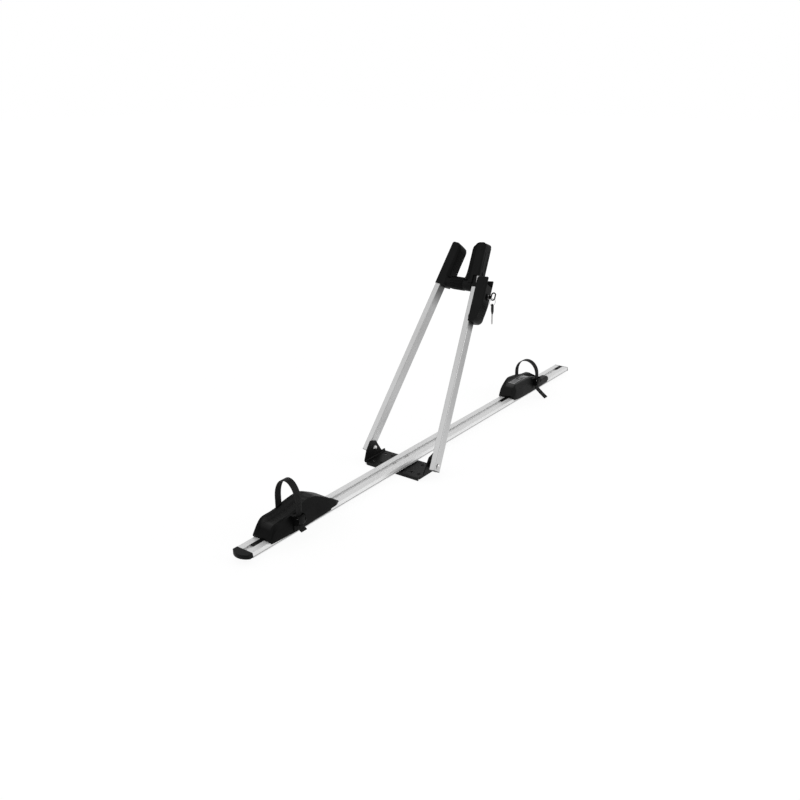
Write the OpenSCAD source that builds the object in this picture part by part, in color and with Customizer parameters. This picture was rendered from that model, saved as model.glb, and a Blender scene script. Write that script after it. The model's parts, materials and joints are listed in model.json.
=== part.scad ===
// Roof mounted bike carrier: a slotted rail on a cross bracket, two folding arms with claws,
// a tie rod with a cam lever and lock, and two sliding wheel cradles with straps.
// X runs along the rail, Y across it and Z up. The origin is the centre of the bracket's seat.

/* [Rail] */
// Length of the extruded rail
rail_length = 1340; // [1280:10:1400]
// Distance from the near end of the rail to the middle of the bracket
rail_near = 510; // [490:5:530]
// Width of the rail's top face
rail_top = 43; // [42:0.5:44]
// Width of the rail's base
rail_base = 46; // [45:0.5:48]
// Height of the rail
rail_height = 14; // [14:0.5:15]
// Length of the rounded end cap
cap_length = 20; // [16:1:26]

/* [Bracket] */
// Sheet thickness of the bracket
sheet = 3; // [2.5:0.5:3.5]
// Size of the bracket along the rail
bracket_depth = 79; // [74:1:84]
// Size of the bracket across the rail, over its ears
bracket_span = 165; // [160:1:166]
// Height of the ears above the seat
ear_height = 48; // [46:1:52]
// Width of an ear at its top
ear_top = 20; // [18:1:24]
// How far the stiffening flanges hang below the seat
flange_drop = 5; // [3:1:8]
// Height of the arm pivot above the seat
pivot_height = 24; // [23:0.5:26]

/* [Arms] */
// Backward lean of the arms, from upright
lean = 33; // [20:1:40]
// Inward splay of each arm
splay = 6.1; // [5.9:0.1:6.3]
// Distance between the two tubes at the pivot
arm_spread = 194; // [193:0.5:196]
// Size of a tube in the direction it swings
tube_depth = 26; // [25:0.5:27]
// Size of a tube across
tube_width = 15; // [14.5:0.5:15.5]
// Wall of a tube
tube_wall = 1.5; // [1.2:0.1:1.8]
// Length of a tube
tube_length = 500; // [480:5:510]
// Length of tube below the pivot
tube_tail = 11.5; // [11:0.5:13]

/* [Claws] */
// Distance from the pivot to the lower edge of the left claw
claw_start = 431; // [428:1:433]
// Distance from the pivot to the lower edge of the right claw
right_claw_start = 446; // [443:1:449]
// Distance from the pivot to the tip of the left claw
left_claw_end = 541; // [536:1:545]
// Distance from the pivot to the tip of the right claw
right_claw_end = 549; // [540:1:552]
// Size of a claw in the direction the arms swing
claw_depth = 33; // [33:0.5:36]
// Thickness of a claw on the inner side of its tube
claw_inward = 14.5; // [14:0.5:17]
// Thickness of the rubber jaw pad
pad = 2.5; // [2:0.25:3]

/* [Lever] */
// Distance from the pivot to the lever's pin, along the right tube
lever_pin = 440; // [438:1:442]
// Distance from the pivot to the lower end of the lever
lever_start = 351; // [340:1:352]
// Distance from the pivot to the upper end of the lever
lever_end = 462; // [459:1:463]
// Radius of the cam with the lever closed
cam_closed = 18; // [17:0.5:19]
// Radius of the cam with the lever open
cam_open = 8; // [7.5:0.25:9]
// Angle through which the lever opens
lever_travel = 110; // [100:1:110]
// Distance from the pivot to the lock
lock_at = 416; // [412:1:418]

/* [Cradles] */
// Place of the front cradle's steep end along the rail
front_cradle_x = -464; // [-475:1:-440]
// Place of the rear cradle's steep end along the rail
rear_cradle_x = 495; // [480:1:520]
// Pitch of the ribs on the trough floor
rib_pitch = 9; // [8:0.5:12]
// Depth of the ribs on the trough floor
rib_depth = 1.6; // [1:0.2:2]

/* [Straps] */
// Width of the wheel straps
strap_width = 16; // [14:1:18]
// Thickness of the wheel straps
strap_thickness = 2; // [1.6:0.2:2.2]
// Height of the front strap's loop above the rail
front_loop = 106; // [90:1:115]
// Height of the rear strap's loop above the rail
rear_loop = 83; // [80:1:110]

/* [Hidden] */
$fn = 48;

// Rail section
slot_mouth = 12;
slot_width = 20;
slot_height = 3.4;
lip = 1.6;
foot_half = 14;
foot_height = 3;
chamber_floor = foot_height + 2;
rail_z = sheet;
rail_crown = rail_z + rail_height;
rail_far = rail_length - rail_near;
slot_floor = rail_height - lip - slot_height;
side_groove = 1;
web_half = slot_width / 2 + 2;
chamber_base = rail_base / 2 - 3.4;
chamber_crown = rail_top / 2 - 2.4;
plug_fit = 0.15;

// Bracket and pivot
half_span = bracket_span / 2;
bend = 5;
shoulder_height = 8;
ear_middle = -6.5;
fixing_x = 22;
fixing_y = [45, 65];
fixing_r = 4.25;
rail_screw_x = 24;
bolt_r = 4;
bolt_head_r = 6.5;
left_hole_r = 4.05;
right_hole_r = 4.35;
bush_end = arm_spread / 2 - tube_width / 2 - 1.5;
nut_start = arm_spread / 2 + tube_width / 2 + 1.1;
nut_r = 7;

// Claws and rod
half_tube = tube_width / 2;
half_claw = claw_depth / 2;
claw_out = half_tube + 1;
claw_in = half_tube + claw_inward;
sleeve_start = lever_end + 3;
claw_tip_r = 140;
claw_edge_r = 6.5;
edge_over = 0.6;
claw_outer_r = 9;
claw_corner_r = 14;
claw_screw_at = sleeve_start + 9;
pad_half = half_claw - claw_edge_r;
pad_from = sleeve_start;
pad_to = left_claw_end - 25;
pad_bed = 1;
rod_r = 3;
knob_r = 16;
knob_half = 16.5;
boss_r = 15;

// Lever
wear = 1;
cam_gap = 0.3;
cam_back = 5.6;
pin_y = half_tube + wear + cam_gap + cam_closed;
rod_s = pin_y * sin(splay) + lever_pin * cos(splay);
rod_end = -(arm_spread / 2 + pin_y * cos(splay) - lever_pin * sin(splay));
rod_left = (arm_spread / 2 - rod_s * tan(splay)) + claw_out / cos(splay) + 1;
// The rod's bosses run up to the ends of the knob
boss_length = (arm_spread / 2 - rod_s * tan(splay)) / cos(splay) - claw_in - knob_half - 0.6;
lever_back = pin_y + 8;
lever_wall = 2.2;
lever_taper = 7;
taper_from = lock_at - 10;
hollow_start = lever_start + 7;
lever_inner = tube_depth / 2 + 0.8;
lever_half = lever_inner + lever_wall;
lever_lip = 5;
lever_open_top = 3.4;
pin_r = 3;
eye_r = 5.2;
eye_half = 4.5;
tongue_in = half_tube - tube_wall - 2;
barrel_r = 7;
plug_r = 5;

// Keys
bow_size = [12.6, 20.6];
bow_wall = 2.7;
bow_y = lever_back + 14.6;
bow_z = lock_at + 2.6;
bow_thickness = 2.4;
ring_r = 8.5;
wire_r = 0.6;
ring_turn = -20;
spare_turn = -42;
key_hole_r = 2;
ring_hole = right_point(0, bow_y - 0.3, bow_z - 5.2);

// Cradles along their length: tops of the far and near walls, half widths, trough depths, sideways shift
front_length = 210;
rear_length = 202;
front_tail = [[140, 43.5], [160, 33.5], [176, 25], [190, 15.2], [197, 9], [204, 4], [210, 2.5]];
front_far_top = concat([[0, 3], [6, 18], [13, 31], [20, 36], [30, 36.5], [45, 35.6], [60, 36.5], [84, 42],
    [105, 47], [125, 49.5]], front_tail);
front_near_top = concat([[0, 3], [6, 16], [14, 27], [24, 30.5], [45, 31.5], [67, 33.5], [84, 38], [105, 43],
    [125, 47]], front_tail);
rear_tail = [[168, 15], [196, 14.5], [202, 6]];
rear_far_top = concat([[0, 3], [8, 17], [12, 28], [18, 34.5], [24, 39.5], [32, 43.5], [40, 45], [50, 44.3],
    [70, 42], [95, 37.5], [124, 31], [150, 28.5], [158, 27.5]], rear_tail);
rear_near_top = concat([[0, 3], [5, 26], [11, 37.5], [18, 38.5], [60, 38.5], [97, 38], [118, 34], [126, 16]],
    rear_tail);
front_half = [[0, 24.5], [6, 26], [30, 27.5], [60, 29], [85, 31], [110, 29.5], [142, 28], [175, 25.5],
    [198, 19.5], [210, 10]];
rear_half = [[0, 24], [6, 27], [40, 30.5], [95, 31], [120, 30.5], [158, 29.7], [168, 11], [196, 10],
    [202, 7]];
front_trough = [[0, 0], [16, 0], [36, 7], [98, 7.5], [118, 6], [140, 0]];
rear_trough = [[0, 0], [12, 0], [22, 3], [112, 3], [122, 0]];
front_shift = [[0, 0], [130, 0], [175, -2.5], [210, -9]];
rear_shift = [[0, 0], [158, 0], [168, -17.5], [202, -18]];
front_tables = [front_far_top, front_near_top, front_half, front_trough, front_shift];
rear_tables = [rear_far_top, rear_near_top, rear_half, rear_trough, rear_shift];
// Ends of the hollow underside, the near skirt and the far skirt
front_ends = [132, 180, 153];
rear_ends = [112, 192, 150];
cradle_gap = 0.3;
skirt = 3;
front_strap_u = 72;
rear_strap_u = 108;
front_foot_u = 108;
rear_foot_u = 72;
front_tongue_u = -24;
rear_tongue_u = -26;
foot_length = 46;
screw_seat = 22;
seat_y = 31;
anchor_y = 31;
strap_near = seat_y + 3.2;
front_far = 20;
rear_far = 28.6;
near_line = -strap_near - strap_thickness / 2;
front_loop_base = 60;
rear_loop_base = 45;
front_anchor_z = 22;
rear_anchor_z = 14;
buckle_pin_z = 31;
buckle_pin_y = strap_near + strap_thickness + 5;
buckle_half = 11;

// Point of the right arm's frame, given as across the swing, outward and along the tube
function right_point(x, y, z) = let (s = y * sin(splay) + z * cos(splay)) [
    s * sin(lean) + x * cos(lean),
    -(arm_spread / 2 + y * cos(splay) - z * sin(splay)),
    pivot_height + s * cos(lean) - x * sin(lean)
];

// Value of a table with its corners rounded
function eased(u, table) = (lookup(u - 5, table) + 2 * lookup(u - 2, table) + 2 * lookup(u, table)
    + 2 * lookup(u + 2, table) + lookup(u + 5, table)) / 8;

// Points of the cam: a face whose reach shrinks evenly as the lever turns
function cam_point(turn) = let (
    fall = (cam_closed - cam_open) / lever_travel,
    reach = cam_closed - fall * turn,
    slip = -fall * 180 / PI
) [reach * cos(turn) - slip * sin(turn), reach * sin(turn) + slip * cos(turn)];

// The arms' common plane, with Z up the arms and Y across
module arm_plane() {
    translate([0, 0, pivot_height]) rotate([0, lean, 0]) children();
}

// A tube's own frame, with Y outward and Z up the tube
module on_left() {
    arm_plane() translate([0, arm_spread / 2, 0]) rotate([splay, 0, 0]) children();
}

module on_right() {
    mirror([0, 1, 0]) on_left() children();
}

// Round bar along Y between two places
module bar_y(r, from, to) {
    translate([0, from, 0]) rotate([-90, 0, 0]) cylinder(r = r, h = to - from);
}

// Round bar along X, centred
module bar_x(r, length) {
    rotate([0, 90, 0]) cylinder(r = r, h = length, center = true);
}

// Domed screw head standing on a plane, with its axis along Z
module dome(r, height) {
    ball = (r * r + height * height) / (2 * height);
    rotate_extrude() intersection() {
        translate([0, height - ball]) circle(ball, $fn = 96);
        square([r, height]);
    }
}

module rounded_rect(size, r) {
    square([size[0] - 2 * r, size[1]], center = true);
    square([size[0], size[1] - 2 * r], center = true);
    for (x = [-1, 1], y = [-1, 1])
        translate([x * (size[0] / 2 - r), y * (size[1] / 2 - r)]) circle(r);
}

// Stands a Y-Z outline up and runs it along X
module along_x(from, to) {
    translate([from, 0, 0]) rotate([90, 0, 90]) linear_extrude(to - from) children();
}

// Outline of the rail's wide part, grown by a margin
module rail_outline(grow = 0) {
    base = rail_base / 2 + grow;
    crown = rail_top / 2 + grow;
    low = foot_height - grow;
    polygon([
        [-base, low], [base, low], [base, low + 2], [crown, rail_height - 1], [crown - 1, rail_height + grow],
        [1 - crown, rail_height + grow], [-crown, rail_height - 1], [-base, low + 2]
    ]);
}

module side_chamber(side, fit = 0) {
    mirror([side < 0 ? 1 : 0, 0]) polygon([
        [web_half + fit, chamber_floor + fit], [chamber_base - fit, chamber_floor + fit],
        [chamber_crown - fit, rail_height - lip - fit], [web_half + fit, rail_height - lip - fit]
    ]);
}

module slot_outline() {
    top_z = rail_height - lip;
    translate([-slot_width / 2, top_z - slot_height]) square([slot_width, slot_height]);
    translate([-slot_mouth / 2, top_z - 1]) square([slot_mouth, lip + 2]);
}

module rail() {
    color("silver") difference() {
        along_x(-rail_near, rail_far) translate([0, rail_z]) difference() {
            union() {
                rail_outline();
                translate([-foot_half, 0]) square([2 * foot_half, foot_height + 1]);
            }
            slot_outline();
            for (side = [-1, 1]) side_chamber(side);
            translate([-slot_width / 2, 2]) square([slot_width, 3]);
            translate([-6, -1]) square([12, 4]);
            // Thin line along each side
            for (side = [-1, 1]) translate([side * rail_base / 2, foot_height + 2.8])
                square(side_groove, center = true);
        }
        for (x = [-1, 1]) translate([x * rail_screw_x, 0, 0]) cylinder(r = 3.2, h = rail_crown);
    }
}

// Plugs that hold an end piece in the rail's side chambers
module chamber_plugs(from, to) {
    along_x(from, to) translate([0, rail_z]) for (side = [-1, 1]) side_chamber(side, plug_fit);
}

module front_end_cap() {
    color("#1b1b1d") {
        intersection() {
            along_x(-rail_near - cap_length, -rail_near) translate([0, rail_z]) rail_outline(0.3);
            translate([-rail_near, 0, rail_z + foot_height + 2]) linear_extrude(40) intersection() {
                translate([-cap_length, -25]) square([cap_length, 50]);
                translate([10, 0]) circle(cap_length + 10, $fn = 96);
            }
        }
        chamber_plugs(-rail_near - 1, -rail_near + 18);
    }
}

module rear_end_plug() {
    color("#1b1b1d") {
        along_x(rail_far, rail_far + 3) translate([0, rail_z]) rail_outline();
        chamber_plugs(rail_far - 18, rail_far + 1);
        along_x(rail_far - 26, rail_far + 1) translate([0, rail_z]) {
            translate([-slot_mouth / 2 + 0.2, slot_floor + 0.2])
                square([slot_mouth - 0.4, rail_height - slot_floor - 0.2]);
        }
    }
}

// Outline of the ears seen along Y, from the seat up
module ear_outline() {
    half = bracket_depth / 2;
    tip = ear_top / 2;
    polygon([
        [-half, -1], [half, -1], [half, shoulder_height], [half / 3 * 2, shoulder_height],
        [ear_middle + tip, ear_height - 6], [ear_middle - tip, ear_height], [8 - half, ear_height * 0.58],
        [-half, shoulder_height / 2]
    ]);
}

// Channel of web and ears seen along X
module channel_outline() {
    difference() {
        union() {
            translate([-half_span, bend]) square([bracket_span, ear_height]);
            translate([-half_span + bend, 0]) square([bracket_span - 2 * bend, bend + 1]);
            for (side = [-1, 1]) translate([side * (half_span - bend), bend]) circle(bend);
        }
        translate([-half_span + sheet, bend]) square([bracket_span - 2 * sheet, ear_height + 1]);
        translate([-half_span + bend, sheet]) square([bracket_span - 2 * bend, bend]);
        for (side = [-1, 1]) translate([side * (half_span - bend), bend]) circle(bend - sheet);
    }
}

module base_bracket() {
    half = bracket_depth / 2;
    color("#202124") difference() {
        union() {
            // Each half is the other one turned about the upright
            for (turn = [0, 180]) rotate(turn) intersection() {
                along_x(-half, half) channel_outline();
                translate([0, half_span, 0]) rotate([90, 0, 0]) linear_extrude(half_span + 1) ear_outline();
            }
            for (side = [-1, 1])
                translate([side * (half - sheet / 2), 0, (sheet - flange_drop) / 2])
                    cube([sheet, bracket_span - 3 * bend, sheet + flange_drop], center = true);
        }
        translate([0, 0, pivot_height]) bar_y(bolt_r + 0.05, -half_span - 1, half_span + 1);
        for (x = [-1, 1], y = [-1, 1], row = fixing_y)
            translate([x * fixing_x, y * row, -1]) cylinder(r = fixing_r, h = sheet + 2);
        for (x = [-1, 1]) translate([x * rail_screw_x, 0, -1]) cylinder(r = 4.1, h = sheet + 2);
    }
}

module rail_screws() {
    color("#b9bbbe") for (x = [-1, 1]) translate([x * rail_screw_x, 0, 0]) {
        floor_z = rail_z + slot_floor;
        translate([0, 0, 1]) cylinder(r = 3, h = floor_z);
        difference() {
            translate([0, 0, floor_z]) dome(5.5, 3.4);
            translate([0, 0, floor_z + 1.6]) cylinder(r = 2.2, h = 3, $fn = 6);
        }
    }
}

module clinch_nuts() {
    color("#8f9194") for (x = [-1, 1]) translate([x * rail_screw_x, 0, 0]) difference() {
        union() {
            translate([0, 0, sheet]) cylinder(r = 5.5, h = 4.2);
            cylinder(r = 4.08, h = sheet + 1);
        }
        translate([0, 0, -1]) cylinder(r = 3.02, h = 12);
    }
}

// Repeats a fastener at both pivots, built with Y outward from the middle
module both_pivots() {
    for (side = [0, 1]) mirror([0, side, 0]) translate([0, 0, pivot_height]) children();
}

module pivot_bolts() {
    color("#c9cbce") both_pivots() {
        bar_y(bolt_r, half_span - sheet - 1, nut_start + 1.6);
        translate([0, half_span - sheet, 0]) rotate([90, 0, 0]) dome(bolt_head_r, 4);
    }
}

module pivot_bushes() {
    color("#2a2b2e") both_pivots() difference() {
        bar_y(7, half_span, bush_end);
        bar_y(bolt_r + 0.04, half_span - 1, bush_end + 1);
    }
}

// Low domed nuts that close the bolts outside the tubes
module pivot_nuts() {
    color("#b4b6b9") both_pivots() translate([0, nut_start, 0]) difference() {
        rotate([-90, 0, 0]) dome(nut_r, 2.8);
        bar_y(bolt_r + 0.04, -1, 1.6);
    }
}

// Rectangular tube with its pivot hole and its rod hole
module tube(hole_r, rod_hole_r) {
    difference() {
        translate([0, 0, -tube_tail]) linear_extrude(tube_length) difference() {
            rounded_rect([tube_depth, tube_width], 2);
            rounded_rect([tube_depth - 2 * tube_wall, tube_width - 2 * tube_wall], 1);
        }
        rotate([-splay, 0, 0]) bar_y(hole_r, -20, 20);
        across_rod() bar_y(rod_hole_r, -30, 30);
        translate([0, 0, claw_screw_at]) bar_y(2.2, -20, 20);
    }
}

// Frame of the tie rod as seen from a tube's own frame
module across_rod() {
    translate([0, 0, rod_s / cos(splay)]) rotate([-splay, 0, 0]) children();
}

module tube_plug() {
    flange = 1;
    translate([0, 0, -tube_tail - flange]) linear_extrude(flange) rounded_rect([tube_depth, tube_width], 2);
    translate([0, 0, -tube_tail - flange / 2]) linear_extrude(6)
        rounded_rect([tube_depth - 2 * tube_wall - 0.2, tube_width - 2 * tube_wall - 0.2], 1);
}

module left_tube() {
    color("silver") on_left() tube(left_hole_r, rod_r + 0.1);
}

module left_tube_plug() {
    color("#1b1b1d") on_left() tube_plug();
}

module right_tube() {
    slot_low = lock_at - 14;
    slot_high = lock_at + 9.5;
    color("silver") on_right() difference() {
        tube(right_hole_r, rod_r + 2.2);
        translate([-4.2, half_tube - 2 * tube_wall, slot_low]) cube([8.4, 6, slot_high - slot_low]);
    }
}

module right_tube_plug() {
    color("#1b1b1d") on_right() tube_plug();
}

// Side of a claw seen across the arms: square foot and a tip that falls away to the back
module claw_side(from, to) {
    intersection() {
        translate([-half_claw, from]) square([claw_depth, to - from]);
        translate([-half_claw - 2, to - claw_tip_r]) circle(claw_tip_r, $fn = 192);
    }
}

// Front of a claw seen along the swing: inner tip rounded
module claw_front(from, to) {
    r = claw_corner_r;
    q = claw_outer_r;
    translate([-claw_in, from]) square([claw_in + claw_out, to - r - from]);
    translate([r - claw_in, from]) square([claw_in + claw_out - r - q, to - from]);
    translate([r - claw_in, to - r]) circle(r);
    translate([claw_out - q, to - r - 1]) square([q, r - q + 1]);
    translate([claw_out - q, to - q]) circle(q);
}

// Moulded claw: sleeve over the tube, inner jaw and a boss for the rod
module claw(from, to, sleeve_from, rod_hole_r) {
    difference() {
        union() {
            intersection() {
                rotate([90, 0, 0]) linear_extrude(80, center = true) claw_side(from, to);
                rotate([90, 0, 90]) linear_extrude(claw_depth, center = true) claw_front(from, to);
                translate([0, (claw_out - claw_in) / 2, from - 1]) linear_extrude(to - from + 2)
                    rounded_rect([claw_depth + edge_over, claw_in + claw_out + edge_over], claw_edge_r);
            }
            across_rod() bar_y(boss_r, -claw_in - boss_length, -half_tube - 2);
        }
        // Pocket for the tube
        translate([0, 0, from - 1]) linear_extrude(tube_length - tube_tail - from + 1.2)
            rounded_rect([tube_depth + 0.1, tube_width + 0.1], 2);
        // Open outer side below the sleeve
        if (sleeve_from > from) translate([-half_claw - 1, -half_tube - 0.05, from - 1])
            cube([claw_depth + 2, 30, sleeve_from - from + 1]);
        across_rod() bar_y(rod_hole_r, -60, 60);
        // Bed of the jaw pad
        translate([-pad_half - 0.1, -claw_in - 1, pad_from - 0.1])
            cube([2 * pad_half + 0.2, 1 + pad_bed, pad_to - pad_from + 0.2]);
        translate([0, 0, claw_screw_at]) bar_y(2.2, -half_tube - 8, claw_out + 1);
    }
}

module left_claw() {
    color("#1d1d20") on_left() claw(claw_start, left_claw_end, claw_start, rod_r + 0.1);
}

module right_claw() {
    color("#1d1d20") on_right() claw(right_claw_start, right_claw_end, sleeve_start, rod_r + 2.2);
}

// Rubber pad with grooves across the jaw
module claw_pad() {
    grooves = 8;
    step = (pad_to - pad_from) / grooves;
    difference() {
        translate([-pad_half, -claw_in - pad + pad_bed, pad_from])
            cube([2 * pad_half, pad, pad_to - pad_from]);
        for (i = [1:grooves - 1])
            translate([-claw_depth, -claw_in - pad + pad_bed - 1, pad_from + i * step - 1])
                cube([2 * claw_depth, 1.8, 2]);
    }
}

module left_claw_pad() {
    color("#2b2b2d") on_left() claw_pad();
}

module right_claw_pad() {
    color("#2b2b2d") on_right() claw_pad();
}

module claw_screw() {
    translate([0, 0, claw_screw_at]) {
        bar_y(2.1, -half_tube - 6, claw_out + 0.5);
        translate([0, claw_out, 0]) rotate([-90, 0, 0]) dome(5, 2.6);
    }
}

module left_claw_screw() {
    color("#242427") on_left() claw_screw();
}

module right_claw_screw() {
    color("#242427") on_right() claw_screw();
}

module tie_rod() {
    color("#b9bbbe") arm_plane() translate([0, 0, rod_s]) difference() {
        union() {
            bar_y(rod_r, rod_end, rod_left);
            translate([0, rod_end, 0]) bar_x(eye_r, 2 * eye_half);
        }
        translate([0, rod_end, 0]) bar_x(pin_r + 0.05, 20);
    }
}

// Low domed cap on the rod's end
module tie_rod_nut() {
    color("#b4b6b9") arm_plane() translate([0, rod_left, rod_s]) rotate([-90, 0, 0]) dome(7, 2.4);
}

module cam_wear_plate() {
    color("#9b9da0") on_right() difference() {
        translate([-11, half_tube, lever_pin - 12.5]) cube([22, wear, 25]);
        across_rod() bar_y(rod_r + 2.2, 0, 40);
    }
}

// Ribbed barrel that sets the width of the jaws
module adjuster_knob() {
    grooves = 14;
    color("#18181a") arm_plane() translate([0, 0, rod_s]) rotate([90, 0, 0]) difference() {
        linear_extrude(2 * knob_half, center = true) difference() {
            circle(knob_r, $fn = 96);
            for (i = [0:grooves - 1])
                rotate(i * 360 / grooves) translate([knob_r + 0.8, 0]) circle(2.2, $fn = 24);
        }
        cylinder(r = rod_r + 0.05, h = 60, center = true);
        for (side = [-1, 1]) translate([0, 0, side * knob_half]) cylinder(r = 10, h = 2, center = true);
    }
}

// Side of the lever seen along the swing, with Y outward; the grip thins towards its rounded foot
module lever_side() {
    foot_r = 12;
    foot_y = lever_back - lever_taper - foot_r;
    polygon([
        [lever_lip, lever_start], [foot_y, lever_start], [foot_y + foot_r, lever_start + foot_r],
        [lever_back, taper_from], [lever_back, lever_end - 2], [lever_back - 3, lever_end],
        [lever_lip + 3, lever_end], [lever_lip, lever_end - 4]
    ]);
    translate([foot_y, lever_start + foot_r]) circle(foot_r, $fn = 96);
}

// Moulded U-shaped casing, open towards the tube
module lever_casing() {
    rounding = 4;
    color("#161618") on_right() difference() {
        intersection() {
            rotate([90, 0, 90]) linear_extrude(2 * lever_half, center = true) lever_side();
            // Back corners rounded in section
            translate([0, 0, lever_start - 1]) linear_extrude(lever_end - lever_start + 2) {
                translate([-lever_half, 0]) square([2 * lever_half, lever_back - rounding]);
                translate([-lever_half + rounding, 0]) square([2 * (lever_half - rounding), lever_back]);
                for (side = [-1, 1])
                    translate([side * (lever_half - rounding), lever_back - rounding]) circle(rounding);
            }
        }
        // Hollow that straddles the tube
        rotate([90, 0, 90]) linear_extrude(2 * lever_inner, center = true) polygon([
            [0, hollow_start], [lever_back - lever_taper - lever_wall, hollow_start],
            [lever_back - lever_wall, taper_from], [lever_back - lever_wall, lever_end + 1],
            [0, lever_end + 1]
        ]);
        translate([-lever_inner, 0, lever_start - 1])
            cube([2 * lever_inner, half_tube + 1, lever_end]);
        // Open top between the cheeks
        translate([-lever_inner, 0, lever_pin + lever_open_top])
            cube([2 * lever_inner, lever_back + 1, lever_end]);
        translate([0, pin_y, lever_pin]) bar_x(pin_r + 0.02, 80);
        translate([0, 0, lock_at]) bar_y(barrel_r + 0.05, lever_back - 10, lever_back + 1);
    }
}

// Pair of cam cheeks either side of the rod's eye
module lever_cam() {
    steps = 22;
    color("#38393c") on_right() translate([0, pin_y, lever_pin]) for (side = [0, 1]) mirror([side, 0, 0])
        translate([eye_half + 0.4, 0, 0]) rotate([90, 0, 90]) difference() {
            linear_extrude(lever_inner - eye_half - 0.4) difference() {
                union() {
                    mirror([1, 0]) polygon(concat(
                        [[-cam_back, -15]],
                        [for (i = [0:steps]) cam_point(i * lever_travel / steps)],
                        [[-cam_back, 3]]
                    ));
                    circle(cam_back);
                }
                circle(pin_r + 0.02);
            }
        }
}

module lever_pin_shaft() {
    color("#b9bbbe") on_right() translate([0, pin_y, lever_pin]) bar_x(pin_r, 2 * lever_half - 0.4);
}

module lock_barrel() {
    color("#1f1f22") on_right() translate([0, 0, lock_at]) difference() {
        union() {
            bar_y(barrel_r, lever_back - 16, lever_back + 2.4);
            bar_y(barrel_r + 1.6, lever_back, lever_back + 1.2);
        }
        bar_y(plug_r + 0.05, lever_back - 20, lever_back + 4);
    }
}

// Turning core of the lock with its keyway
module lock_plug() {
    color("#c4c2b8") on_right() translate([0, 0, lock_at]) difference() {
        union() {
            bar_y(plug_r, lever_back - 16, lever_back + 2.8);
            bar_y(2.9, tongue_in + 0.4, lever_back - 15);
        }
        translate([-0.95, lever_back - 13, -4.1]) cube([1.9, 20, 8.2]);
    }
}

// Bar behind the tube's wall that holds the lever shut when turned across
module lock_tongue() {
    color("#9b9da0") on_right() translate([0, tongue_in, lock_at]) difference() {
        translate([-3.5, -1.9, -8]) cube([7, 1.9 + 0.4, 16]);
        bar_y(1.2, -3, 3);
    }
}

// Plastic head of a key in its own plane, hanging from its hole at the origin
module bow_outline() {
    difference() {
        union() {
            translate([0, -6.5]) rounded_rect([15, 21], 5);
            translate([-4, -20]) square([8, 6]);
        }
        circle(key_hole_r);
    }
}

// Blade below the head, with cuts along one edge
module blade_outline() {
    cuts = 5;
    difference() {
        polygon([[-3.6, -20], [3.6, -20], [3.6, -42], [0.5, -46], [-3.6, -43]]);
        for (i = [0:cuts - 1])
            translate([-4.4, -25 - 4 * i]) rotate(45) square(1.6 + 0.3 * (i % 2), center = true);
    }
}

// Key in the lock, drawn with outward as X and up the tube as Y
module in_lock(thickness) {
    on_right() rotate([90, 0, 90]) linear_extrude(thickness, center = true) children();
}

// Oval loop for a head, on a short stem
module key_bow() {
    color("#121214") in_lock(bow_thickness) {
        translate([bow_y, bow_z]) difference() {
            rounded_rect(bow_size, 6);
            rounded_rect(bow_size - 2 * [bow_wall, bow_wall], 3.5);
        }
        translate([lever_back + 3.1, lock_at - 4]) square([bow_y - bow_size[0] / 2 - lever_back - 2, 8]);
    }
}

module key_blade() {
    stem = lever_back + 3.1;
    tip = lever_back - 12;
    color("#d0d1d3") in_lock(1.7) translate([0, lock_at])
        polygon([[stem, -3.6], [stem, 3.6], [tip + 3, 3.6], [tip, 0.5], [tip + 2, -3.6]]);
}

// Split ring that hangs upright from the key's hole
module key_ring() {
    color("#c9cbce") translate(ring_hole - [0, 0, ring_r]) rotate([90, 0, ring_turn])
        rotate_extrude($fn = 64) translate([ring_r, 0]) circle(wire_r, $fn = 20);
}

// Spare key hanging from the lowest point of the ring
module on_ring() {
    translate(ring_hole - [0, 0, 2 * ring_r]) rotate([90, 0, 90 + spare_turn]) children();
}

module spare_key_bow() {
    color("#121214") on_ring() linear_extrude(bow_thickness, center = true) bow_outline();
}

module spare_key_blade() {
    color("#d0d1d3") on_ring() linear_extrude(1.7, center = true) blade_outline();
}

// Section of a cradle at one place along its length
function cradle_section(half, far, near, depth) = let (
    low = cradle_gap,
    far_rise = far - low,
    near_rise = near - low,
    far_crown = half - 0.17 * far_rise,
    near_crown = half - 0.17 * near_rise,
    trough = min(15, far_crown - 3, near_crown - 3),
    bed = trough * 0.75,
    bed_z = min(far, near) - depth
) [
    [-half, low], [-half, low + 0.12 * near_rise], [0.05 * near_rise - half, low + 0.7 * near_rise],
    [-near_crown, low + 0.93 * near_rise], [0.04 * near_rise - near_crown, near], [-trough, near],
    [-bed, bed_z], [bed, bed_z], [trough, far],
    [far_crown - 0.04 * far_rise, far], [far_crown, low + 0.93 * far_rise],
    [half - 0.05 * far_rise, low + 0.7 * far_rise], [half, low + 0.12 * far_rise], [half, low]
];

// Loft through the sections, with a rib at every second station of the trough
module cradle_loft(length, tables) {
    count = 2 * round(length / rib_pitch);
    stations = [for (i = [0:count]) i * length / count];
    sections = [for (i = [0:count]) let (
        row = [for (t = tables) eased(stations[i], t)],
        rib = row[3] > 2.5 && i % 2 == 1 ? rib_depth : 0
    ) [for (p = cradle_section(row[2], row[0], row[1], row[3] + rib)) [stations[i], p[0] + row[4], p[1]]]];
    ring = len(sections[0]);
    points = [for (s = sections, p = s) p];
    sides = [for (i = [0:count - 1], k = [0:ring - 1]) let (
        a = i * ring + k,
        b = i * ring + (k + 1) % ring
    ) each [[a, b + ring, a + ring], [a, b, b + ring]]];
    ends = [[for (k = [ring - 1:-1:0]) k], [for (k = [0:ring - 1]) count * ring + k]];
    polyhedron(points, concat(sides, ends));
}

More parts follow.
